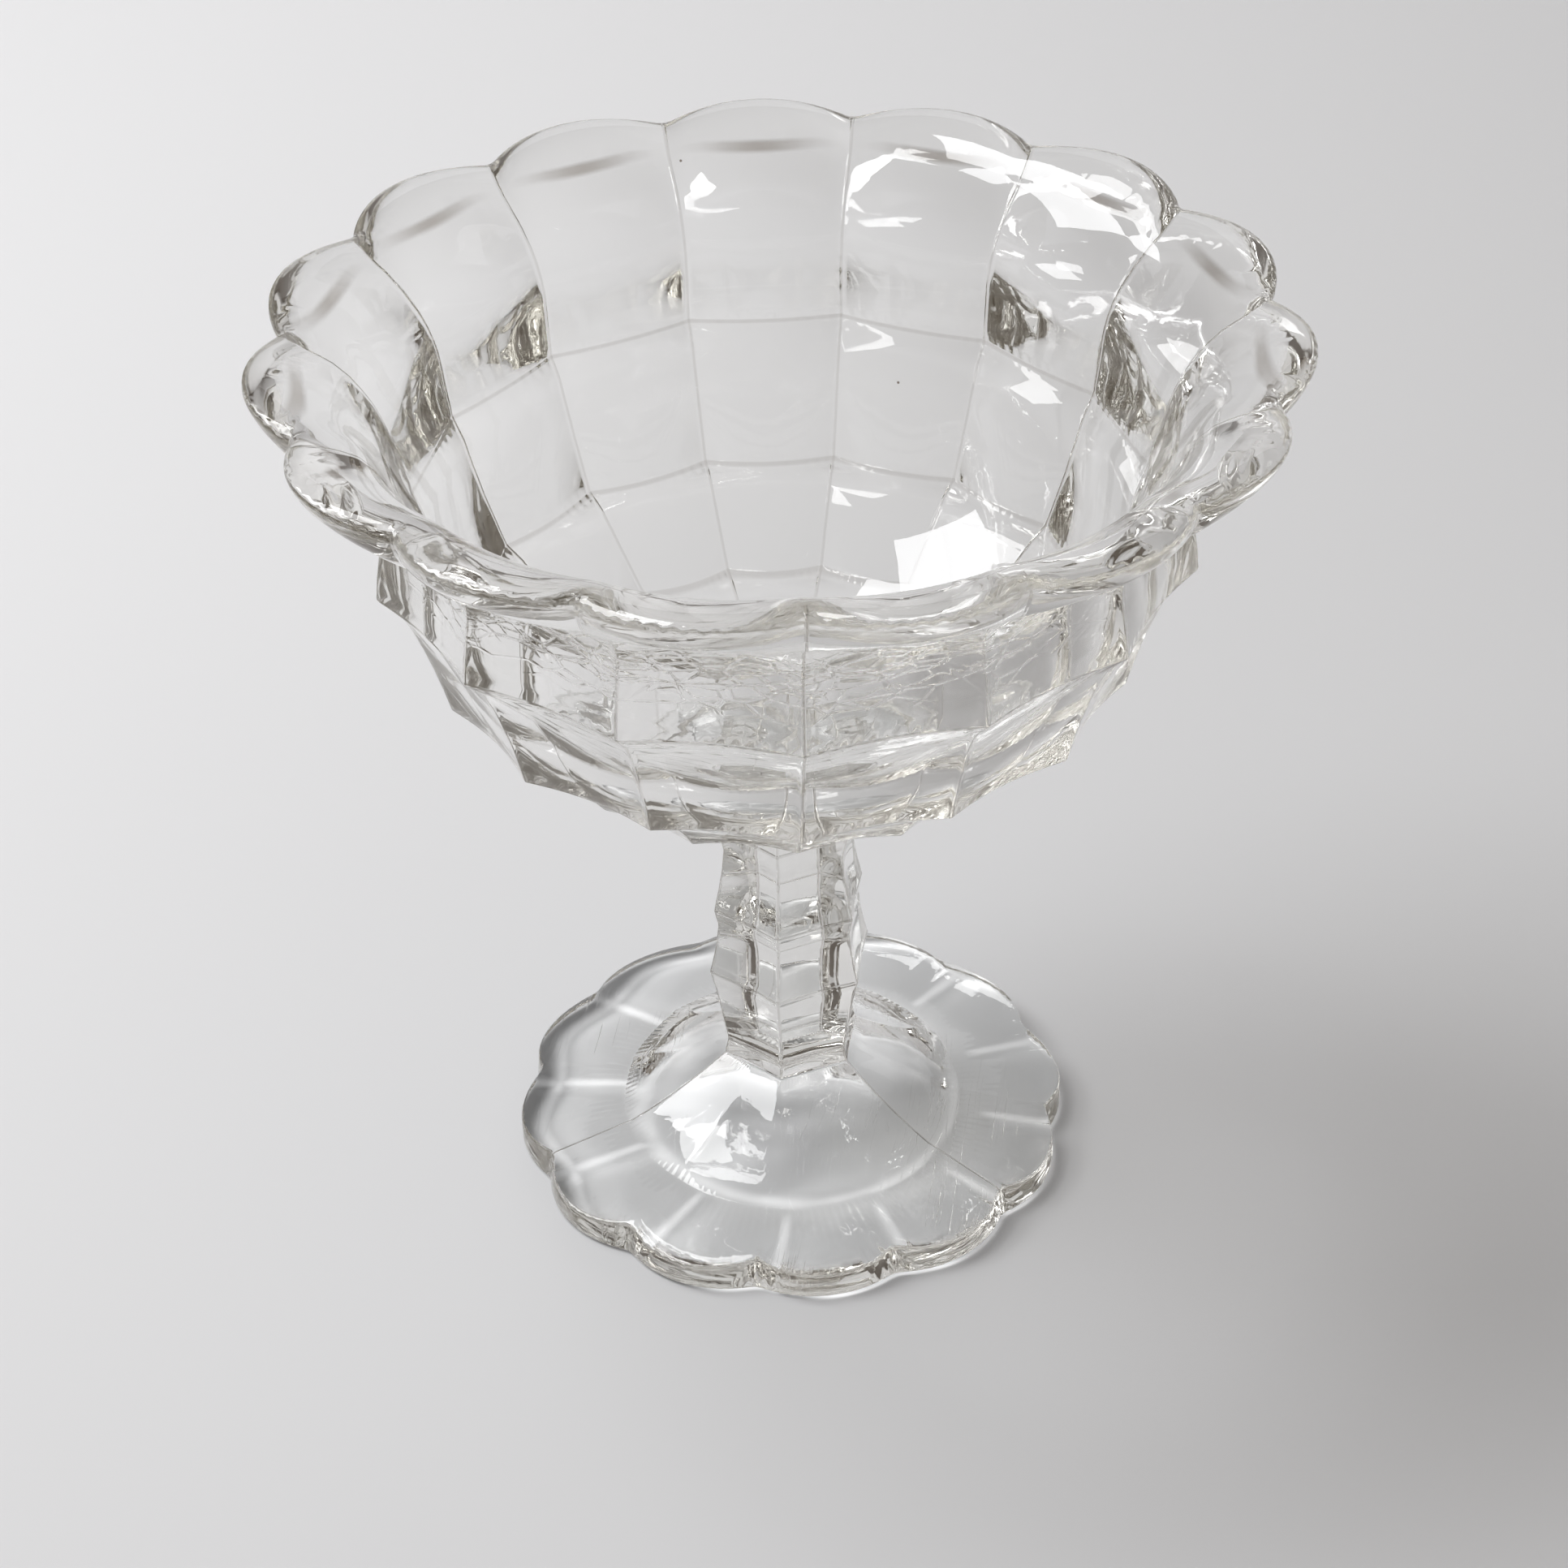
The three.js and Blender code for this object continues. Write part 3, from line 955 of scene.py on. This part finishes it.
def bowl_material(name):
    material, normal = glass_material(name, ripple=0.00006, wear=0.03, first_seam=BOWL_TURN + 0.05)
    tree = material.node_tree
    rows = [bowl_base + corner[1] for corner in (LOW_CORNER, MIDDLE_CORNER, HIGH_CORNER)]
    # fins on ridges and rows: bumps with painted shade along them
    ridge_fins = lines_down(tree, BOWL_TURN, PANELS, RIDGE_FIN[0]), *RIDGE_FIN[1:]
    row_fins = level_lines(tree, rows, ROW_FIN[0]), *ROW_FIN[1:]
    lip_bump_and_shade = lip_lines(tree), *LIP_EDGE_BUMP_AND_SHADE[1:]
    normal = add_fins_and_shade(tree, normal, [ridge_fins, row_fins, lip_bump_and_shade])
    normal = bump(tree, wrinkles(tree), 0.0001, normal)
    tree.links.new(normal, tree.nodes["Principled BSDF"].inputs["Normal"])
    pass_light(material, let_down(tree, steep=0.58, level=0.9))
    return material


bowl_glass = bowl_material("bowl_glass")
print("bowl glass nodes:", len(bowl_glass.node_tree.nodes))

# %% [markdown]
# ### Closing the bowl
#
# Pad, rows, rim and inside are one run of rings, which is closed at both ends and then rounded off.

# %% Whole bowl
def make_bowl():
    bowl = RingPiece("pressed_bowl", PANELS, lambda place: (JOINT_RADIUS, bowl_base), BOWL_TURN)
    bowl.cap(edge=1.0)
    outer_rows(bowl)
    plunger_side(bowl, rim(bowl))
    return fire_polish(bowl.piece, bowl_glass, width=0.0004)


bowl = make_bowl()
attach(bowl, "root")
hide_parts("bowl")

# %% [markdown]
# ## The stem
#
# The stem is a six-sided column that swells in two steps and narrows to a waist just above the foot. It
# could be a cylinder with six sides, scaled here and there, but the sides are slightly hollow, as if
# cut on a wheel, and scooped between the steps. So it is built from rings like the bowl. It has a fin
# on each of its edges too, upright and level.

# %% Stem sizes and glass
SIDES = 6
SIDE_HOLLOW = 0.0003
stem_base = foot_top + JOINT_GAP
STEM_LEVELS = [
    (JOINT_RADIUS, 0.0, 0.0001),
    (0.0124, 0.0032, 0.0002),
    (0.0155, 0.0194, 0.001),
    (0.0144, 0.033, 0.0012),
    (0.0132, 0.0503, 0.0004),
    (0.0138, stem_top - stem_base, 0.0),
]


def stem_material(name):
    material, normal = glass_material(name, ripple=0.0001, wear=0.0, first_seam=60)
    tree = material.node_tree
    steps = [stem_base + level[1] for level in STEM_LEVELS[1:-1]]
    edge_fins = lines_down(tree, 0, SIDES, RIDGE_FIN[0]), *RIDGE_FIN[1:]
    step_fins = level_lines(tree, steps, ROW_FIN[0]), *ROW_FIN[1:]
    # the stem's fins: bumps with painted shade along its edges and steps
    normal = add_fins_and_shade(tree, normal, [edge_fins, step_fins])
    tree.links.new(normal, tree.nodes["Principled BSDF"].inputs["Normal"])
    pass_light(material, let_down(tree, steep=0.88, level=0.97))
    return material


stem_glass = stem_material("stem_glass")
print("stem glass nodes:", len(stem_glass.node_tree.nodes))


# %% Stem
def place_angle(place):
    """The angle away from a corner, of a place in one of six bays."""
    return (1 - math.sqrt(1 - place)) / 2 * math.tau / SIDES


def side_ring(radius, height):
    return lambda place: (
        polygon(radius, SIDES, place_angle(place)) - SIDE_HOLLOW * place,
        stem_base + height,
    )


def make_stem():
    stem = RingPiece("faceted_stem", SIDES, side_ring(*STEM_LEVELS[0][:2]))
    stem.cap(edge=1.0)
    for lower, upper in zip(STEM_LEVELS, STEM_LEVELS[1:]):
        for step in range(1, 5):
            radius, height = scooped(upper, lower, 1 - step / 4, lower[2])
            stem.ring(side_ring(radius, height), edge=1.0 if step == 4 else 0.0, ridge=1.0)
    stem.cap()
    return fire_polish(stem.piece, stem_glass, width=0.00035)


stem = make_stem()
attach(stem, "root")
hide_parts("stem")

# %% [markdown]
# ## The joining wafer
#
# A gather of hot glass, dropped on the stem, sticks the bowl to it and squeezes out a little at the
# side. A flattened ball would do, but its ends have to be flat and meet the stem and the bowl exactly.

# %% Wafer
WAFER_RADIUS = 0.0146
WAFER_STEPS = 6
wafer_low = stem_top + JOINT_GAP
wafer_high = bowl_base - JOINT_GAP


def make_wafer():
    thick = wafer_high - wafer_low
    wafer = RingPiece("joining_wafer_glass", SIDES, lambda place: (JOINT_RADIUS, wafer_low))
    wafer.cap(edge=1.0)
    for step in range(1, WAFER_STEPS):
        angle = math.pi * step / WAFER_STEPS
        swell = (WAFER_RADIUS - JOINT_RADIUS) * math.sin(angle)
        height = wafer_low + thick * (1 - math.cos(angle)) / 2
        wafer.ring(lambda place, r=JOINT_RADIUS + swell, z=height: (r, z))
    wafer.ring(lambda place: (JOINT_RADIUS, wafer_high), edge=1.0)
    wafer.cap()
    return fire_polish(wafer.piece, stem_glass, width=0.0002)


wafer = make_wafer()
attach(wafer, "root")
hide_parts("joining_wafer")

# %% [markdown]
# ## The foot
#
# The foot is a disc with twelve scallops. Flutes run in from them to a low dome that takes up the six
# sides of the stem. Underneath it is hollow, which shows through the top as a bright ring.

# %% Foot sizes
FLUTES = 12
NOTCH_RADIUS = 0.0478
FOOT_REACH = 0.0026
EDGE_HEIGHT = 0.0065
DRAFT = 0.0008
ROUNDING = 0.0007
FLUTE_DEPTH = 0.0015
DOME_RADIUS = 0.0315
DOME_EDGE = 0.009
DOME_SAG = 0.0008
HOLLOW_RADIUS = 0.03
HOLLOW_DEPTH = 0.011

# %% [markdown]
# ### The light that the foot gathers
#
# Each ridge and each scallop lays a bright line on the paper, moved away from the window, with a dark
# margin outside. Clouds of light lie under the dome, and a ring along the edge of its hollow. Again
# only shadow rays are told. The scratches of use are the middle values of a much-stretched noise.

# %% Light under the foot
LINE_SHIFT = 0.003  # along X, away from the window
RING_RADIUS = 0.0282


def under_dome(tree):
    """Clouds of light inside the foot's hollow, and a ring of it along the hollow's edge."""
    radius, _ = polar(tree)
    clouds = ramp(tree, noise(tree, 60, 2), 0.35, 0.65, -0.15, 0.25)
    inside = ramp(tree, radius, HOLLOW_RADIUS, HOLLOW_RADIUS - 0.0005)
    off = calculate(tree, "ABSOLUTE", calculate(tree, "SUBTRACT", radius, RING_RADIUS))
    ring = ramp(tree, off, 0.0024, 0.0, 0.0, 0.5)
    return calculate(tree, "MULTIPLY_ADD", clouds, inside, ring)


def gathered(tree):
    """Bright lines under the foot's ridges and along its scallops, and a dark margin outside them."""
    radius, angle = polar(tree, LINE_SHIFT)
    wave = calculate(tree, "SINE", calculate(tree, "MULTIPLY", angle, FLUTES / 2))
    ridge = ramp(tree, calculate(tree, "ABSOLUTE", wave), 0.26, 0.0, 0.0, 0.8)
    ridge = calculate(tree, "MULTIPLY", ridge, ramp(tree, radius, HOLLOW_RADIUS, HOLLOW_RADIUS + 0.004))
    edge = calculate(tree, "MULTIPLY_ADD", calculate(tree, "POWER", wave, 2), FOOT_REACH, NOTCH_RADIUS)
    beyond = calculate(tree, "SUBTRACT", radius, edge)
    off = calculate(tree, "ABSOLUTE", calculate(tree, "ADD", beyond, 0.0014))
    bright = calculate(tree, "MAXIMUM", ridge, ramp(tree, off, 0.0018, 0.0))
    margin = ramp(tree, beyond, -0.0004, 0.0012, 0.0, -0.5)
    flutes = calculate(tree, "MULTIPLY_ADD", bright, 0.7, margin)
    total = calculate(tree, "ADD", flutes, under_dome(tree))
    below = ramp(tree, split_normal(tree)[2], -0.3, -0.6)
    return calculate(tree, "MULTIPLY_ADD", total, below, 1.0)


def scratches(tree, turn):
    """Hair-thin lines in one direction, and none where a slower noise is low."""
    lines = noise(tree, 320, 1, (1, 0.02, 1), turn)
    off = calculate(tree, "ABSOLUTE", calculate(tree, "SUBTRACT", lines, 0.5))
    line = ramp(tree, off, 0.012, 0.002)
    return calculate(tree, "MULTIPLY", line, ramp(tree, noise(tree, 45, 1), 0.5, 0.62))


# %% Foot glass
def foot_material(name):
    material, normal = glass_material(name, ripple=0.0002, wear=0.06, first_seam=60)
    tree = material.node_tree
    for turn in (0.5, 1.9):
        normal = bump(tree, scratches(tree, turn), -0.00002, normal)
    tree.links.new(normal, tree.nodes["Principled BSDF"].inputs["Normal"])
    passed = let_down(tree, steep=0.5, level=0.97)
    pass_light(material, calculate(tree, "MULTIPLY", passed, gathered(tree)))
    return material


foot_glass = foot_material("foot_glass")
print("foot glass nodes:", len(foot_glass.node_tree.nodes))

# %% [markdown]
# ### The foot's outlines
#
# Bays are six to the turn here, with two scallops in each, so that the seat can have six sides. From
# the seat the dome runs down to a twelve-sided edge, and the flutes run on to the scallops.

# %% Foot outlines
def flute_place(place):
    """0 on a ridge and 1 in the middle of a flute."""
    share = place_angle(place) / (math.pi / SIDES)
    return 4 * (share % 1) * (1 - share % 1) if share < 1 else 0.0


def dome_ring(share):
    """Share 0 is the stem's seat, 1 the dome's edge."""
    sag = DOME_SAG * 4 * share * (1 - share)

    def ring(place):
        seat = polygon(JOINT_RADIUS, SIDES, place_angle(place))
        edge = polygon(DOME_RADIUS, FLUTES, place_angle(place))
        return lerp(seat, edge, share), lerp(foot_top, DOME_EDGE, share) - sag

    return ring


def flute_ring(share):
    """Share 0 is the dome's edge, 1 the scallops."""

    def ring(place):
        bay = flute_place(place)
        edge = polygon(DOME_RADIUS, FLUTES, place_angle(place))
        rim = lerp(NOTCH_RADIUS - DRAFT - ROUNDING, NOTCH_RADIUS + FOOT_REACH - ROUNDING, bay)
        return lerp(edge, rim, share), lerp(DOME_EDGE, EDGE_HEIGHT, share) - FLUTE_DEPTH * bay * share

    return ring


def edge_ring(inset, draft, top, lift):
    """Round the upright edge, whose notches lean in towards the top."""

    def ring(place):
        bay = flute_place(place)
        outer = NOTCH_RADIUS + FOOT_REACH * bay - draft * (1 - bay)
        return outer - inset, (EDGE_HEIGHT - FLUTE_DEPTH * bay - lift) if top else lift

    return ring


# %% Whole foot
def make_foot():
    foot = RingPiece("fluted_foot", SIDES, dome_ring(0), steps=2 * STEPS_PER_BAY, ridges=(0.0, 1.0))
    foot.cap(edge=1.0)
    for step in range(1, 6):
        foot.ring(dome_ring(step / 5), edge=0.5 if step == 5 else 0.0)
    for step in range(1, 5):
        foot.ring(flute_ring(step / 4), ridge=0.8)
    soft = ROUNDING * 0.3
    foot.ring(edge_ring(soft, DRAFT, True, soft))
    foot.ring(edge_ring(0, DRAFT, True, ROUNDING))
    foot.ring(edge_ring(0, 0, False, ROUNDING))
    foot.ring(edge_ring(soft, 0, False, soft))
    foot.ring(edge_ring(ROUNDING, 0, False, 0))
    for step in range(5):
        share = 1 - step / 5
        foot.ring(lambda place, s=share: (HOLLOW_RADIUS * s, HOLLOW_DEPTH * (1 - s * s)))
    foot.cap()
    return fire_polish(foot.piece, foot_glass, width=0.0003)


foot = make_foot()
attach(foot, "root")
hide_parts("foot")
